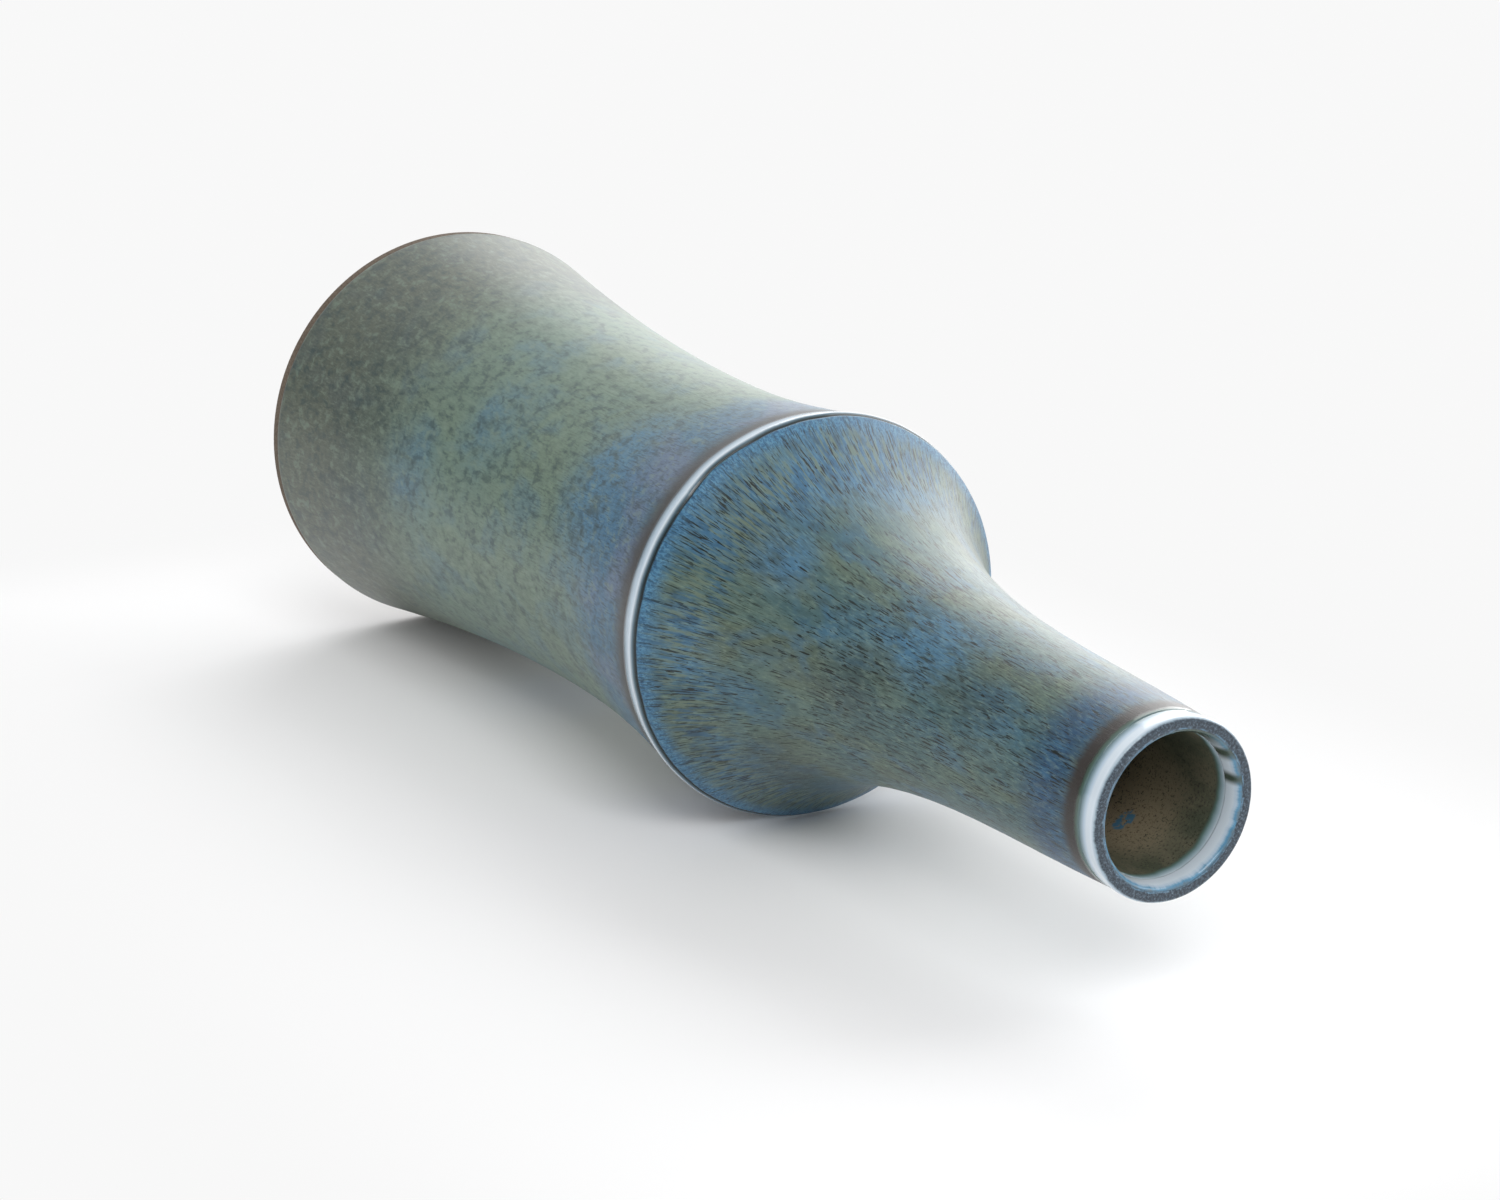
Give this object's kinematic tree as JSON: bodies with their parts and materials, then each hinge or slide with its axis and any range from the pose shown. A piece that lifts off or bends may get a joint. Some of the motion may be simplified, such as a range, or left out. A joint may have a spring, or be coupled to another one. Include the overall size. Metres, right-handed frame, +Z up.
{
  "type": "bud vase",
  "caption": "Waisted stoneware bud vase with a crisp rounded shoulder, a concave cone running into a slender neck, and a thick glazed lip.",
  "frame": {"origin": "centre of the plane that the foot stands on", "axes": "+Z up along the vase's axis, from the foot to the mouth; the vase is the same all round, so +X and +Y are free"},
  "size_m": [0.0752, 0.0752, 0.23],
  "materials": {
    "bare_clay": "matte fired stoneware",
    "slip": "matte fired slip",
    "body_glaze": "satin mottled blue-green",
    "neck_glaze": "satin streaked blue-green",
    "lip_glaze": "glossy pale blue roll",
    "liner_glaze": "dark olive brown",
    "base_glaze": "satin olive"
  },
  "bodies": {
    "root": {"lower_section": "bare_clay", "upper_section": "bare_clay", "seam_slip": "slip", "body_glaze": "body_glaze", "neck_glaze": "neck_glaze", "lip_glaze": "lip_glaze", "liner_glaze": "liner_glaze", "base_glaze": "base_glaze"}
  },
  "joints": []
}
